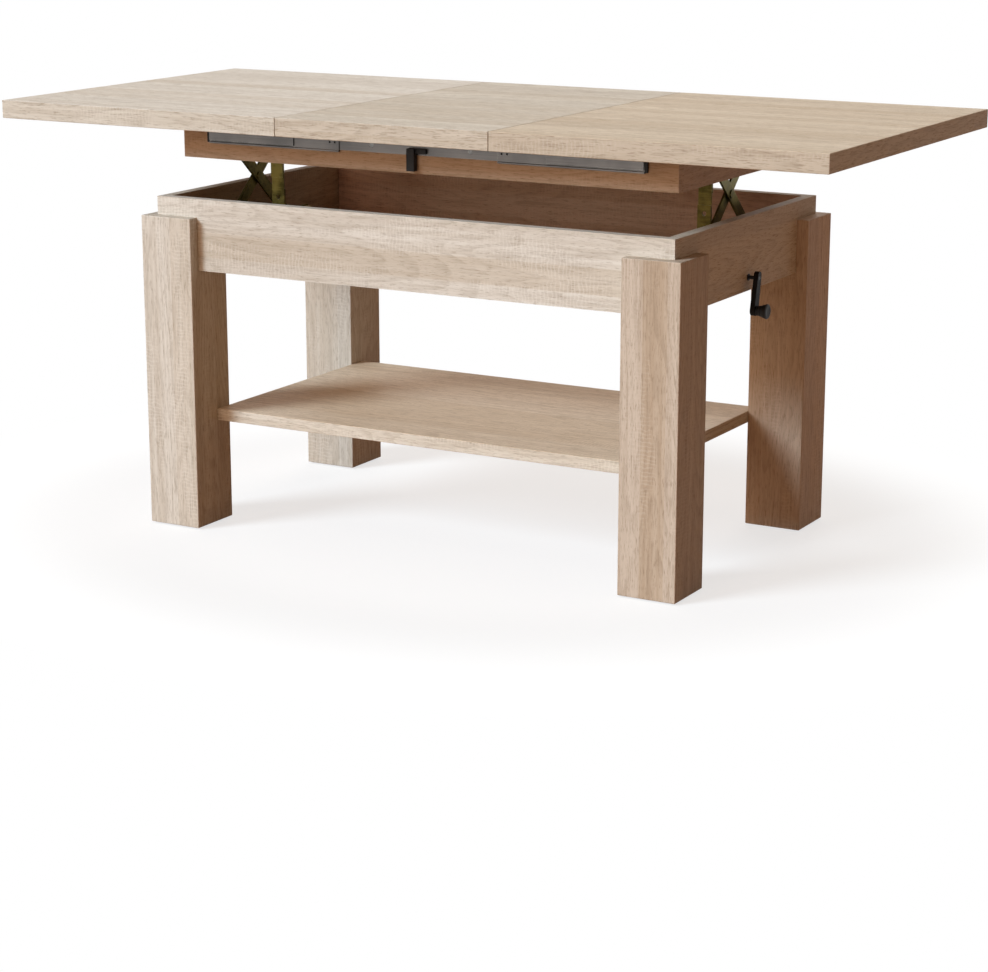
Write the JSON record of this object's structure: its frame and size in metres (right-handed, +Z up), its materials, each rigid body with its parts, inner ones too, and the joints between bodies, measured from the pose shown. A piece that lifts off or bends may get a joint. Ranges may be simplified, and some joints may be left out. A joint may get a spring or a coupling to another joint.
{
  "type": "height-adjustable coffee table",
  "caption": "Coffee table with a crank-driven scissor lift: its top rises and pulls apart on runners for a loose insert, above a box frame with a low shelf",
  "frame": {"origin": "on the ground under the middle of the table", "axes": "+X along the table towards the crank end, -Y towards the front, +Z up"},
  "size_m": [1.5, 0.682, 0.717],
  "materials": {
    "oak_board": "matt wood-look melamine, pale oak with rough-sawn texture",
    "oak_upright": "matt wood-look melamine, pale oak, grain upright",
    "oak_carrier": "matt wood-look melamine, warm oak",
    "beech": "bare turned beech",
    "felt_grey": "matt moulded",
    "runner_steel": "galvanised, satin",
    "screw_steel": "zinc plated, satin",
    "bright_steel": "drawn bar, satin",
    "yellow_zinc": "yellow passivated zinc plating, satin",
    "gearbox_metal": "die cast, matt",
    "nut_brass": "machined, satin",
    "black_plastic": "moulded, fine texture",
    "black_metal": "black powder coat"
  },
  "bodies": {
    "base": {"base_dowels": "beech", "base_rail_left": "yellow_zinc", "base_rail_right": "yellow_zinc", "base_rail_screws": "screw_steel", "crank_bush": "black_plastic", "frame_floor": "oak_board", "frame_front_panel": "oak_board", "frame_left_panel": "oak_board", "frame_rear_panel": "oak_board", "frame_right_panel": "oak_board", "gearboxes": "gearbox_metal", "guide_lower": "yellow_zinc", "leg_bolts": "screw_steel", "leg_front_left": "oak_upright", "leg_front_right": "oak_upright", "leg_glides": "felt_grey", "leg_rear_left": "oak_upright", "leg_rear_right": "oak_upright", "lower_shelf": "oak_board", "screw_end_bearings": "gearbox_metal"},
    "carrier": {"carrier_battens": "oak_carrier", "carrier_dowels": "beech", "carrier_front_panel": "oak_carrier", "carrier_left_panel": "oak_carrier", "carrier_rear_panel": "oak_carrier", "carrier_right_panel": "oak_carrier", "carrier_screws": "screw_steel", "guide_upper": "yellow_zinc", "runner_fixed": "runner_steel", "runner_stops": "black_plastic", "upper_rails": "yellow_zinc"},
    "guide_middle": {"guide_middle": "yellow_zinc"},
    "leaf_left": {"leaf_left": "oak_board", "leaf_runners_left": "runner_steel", "leaf_runner_screws_left": "screw_steel"},
    "leaf_right": {"leaf_right": "oak_board", "leaf_runners_right": "runner_steel", "leaf_runner_screws_right": "screw_steel"},
    "runner_left": {"runner_middle_left": "runner_steel", "runner_caps_left": "black_plastic"},
    "runner_right": {"runner_middle_right": "runner_steel", "runner_caps_right": "black_plastic"},
    "insert": {"insert_panel": "oak_board", "insert_locators": "black_plastic"},
    "crank": {"crank_shaft": "bright_steel", "crank_arm": "black_metal"},
    "knob": {"crank_knob": "black_plastic"},
    "arm_a_left": {"scissor_arm_a_left": "yellow_zinc", "scissor_pins_a_left": "yellow_zinc"},
    "arm_b_left": {"scissor_arm_b_left": "yellow_zinc", "scissor_pins_b_left": "yellow_zinc"},
    "nut_left": {"drive_nut_left": "nut_brass"},
    "screw_left": {"drive_screw_left": "bright_steel"},
    "arm_a_right": {"scissor_arm_a_right": "yellow_zinc", "scissor_pins_a_right": "yellow_zinc"},
    "arm_b_right": {"scissor_arm_b_right": "yellow_zinc", "scissor_pins_b_right": "yellow_zinc"},
    "nut_right": {"drive_nut_right": "nut_brass"},
    "screw_right": {"drive_screw_right": "bright_steel"}
  },
  "joints": [
    {"name": "lift", "type": "slide", "parent": "base", "child": "carrier", "axis": [0, 0, 1], "range_m": [-0.12, 0]},
    {"name": "guide_middle_slide", "type": "slide", "parent": "base", "child": "guide_middle", "axis": [0, 0, 1], "range_m": [-0.06, 0]},
    {"name": "leaf_left_slide", "type": "slide", "parent": "carrier", "child": "leaf_left", "axis": [-1, 0, 0], "range_m": [0, 0.025]},
    {"name": "runner_left_slide", "type": "slide", "parent": "carrier", "child": "runner_left", "axis": [-1, 0, 0], "range_m": [0, 0.0125]},
    {"name": "leaf_right_slide", "type": "slide", "parent": "carrier", "child": "leaf_right", "axis": [1, 0, 0], "range_m": [0, 0.025]},
    {"name": "runner_right_slide", "type": "slide", "parent": "carrier", "child": "runner_right", "axis": [1, 0, 0], "range_m": [0, 0.0125]},
    {"name": "insert_lift", "type": "slide", "parent": "carrier", "child": "insert", "axis": [0, 0, 1], "range_m": [0, 0.06]},
    {"name": "arm_a_left_pivot", "type": "hinge", "parent": "base", "child": "arm_a_left", "pos_m": [-0.402, -0.18, 0.505], "axis": [-1, 0, 0], "range_deg": [0, 32.76]},
    {"name": "arm_b_left_pivot", "type": "hinge", "parent": "arm_a_left", "child": "arm_b_left", "pos_m": [-0.402, -0.09235, 0.584], "axis": [-1, 0, 0], "range_deg": [-65.52, 0]},
    {"name": "nut_left_pivot", "type": "hinge", "parent": "arm_b_left", "child": "nut_left", "pos_m": [-0.402, -0.0047, 0.505], "axis": [-1, 0, 0], "range_deg": [0, 32.76]},
    {"name": "arm_a_right_pivot", "type": "hinge", "parent": "base", "child": "arm_a_right", "pos_m": [0.402, 0.18, 0.505], "axis": [1, 0, 0], "range_deg": [0, 32.76]},
    {"name": "arm_b_right_pivot", "type": "hinge", "parent": "arm_a_right", "child": "arm_b_right", "pos_m": [0.402, 0.09235, 0.584], "axis": [1, 0, 0], "range_deg": [-65.52, 0]},
    {"name": "nut_right_pivot", "type": "hinge", "parent": "arm_b_right", "child": "nut_right", "pos_m": [0.402, 0.0047, 0.505], "axis": [1, 0, 0], "range_deg": [0, 32.76]},
    {"name": "crank_turn", "type": "hinge", "parent": "base", "child": "crank", "pos_m": [0.48, 0, 0.467], "axis": [1, 0, 0], "range_deg": [0, 4148.29]},
    {"name": "screw_left_turn", "type": "hinge", "parent": "base", "child": "screw_left", "pos_m": [-0.391, 0.018, 0.467], "axis": [0, 1, 0], "range_deg": [0, 4148.29]},
    {"name": "screw_right_turn", "type": "hinge", "parent": "base", "child": "screw_right", "pos_m": [0.391, -0.018, 0.467], "axis": [0, -1, 0], "range_deg": [0, 4148.29]},
    {"name": "knob_turn", "type": "hinge", "parent": "crank", "child": "knob", "pos_m": [0.5, -0.00992, 0.41596], "axis": [1, 0, 0], "continuous": true}
  ],
  "couplings": [
    {"joint": "guide_middle_slide", "follows": "lift", "ratio": 0.5},
    {"joint": "runner_left_slide", "follows": "leaf_left_slide", "ratio": 0.5},
    {"joint": "runner_right_slide", "follows": "leaf_right_slide", "ratio": 0.5},
    {"joint": "arm_a_left_pivot", "follows": "lift", "rad_per_m": -4.765},
    {"joint": "arm_b_left_pivot", "follows": "lift", "rad_per_m": 9.5301},
    {"joint": "nut_left_pivot", "follows": "lift", "rad_per_m": -4.765},
    {"joint": "arm_a_right_pivot", "follows": "lift", "rad_per_m": -4.765},
    {"joint": "arm_b_right_pivot", "follows": "lift", "rad_per_m": 9.5301},
    {"joint": "nut_right_pivot", "follows": "lift", "rad_per_m": -4.765},
    {"joint": "crank_turn", "follows": "lift", "rad_per_m": -603.34},
    {"joint": "screw_left_turn", "follows": "lift", "rad_per_m": -603.34},
    {"joint": "screw_right_turn", "follows": "lift", "rad_per_m": -603.34}
  ]
}
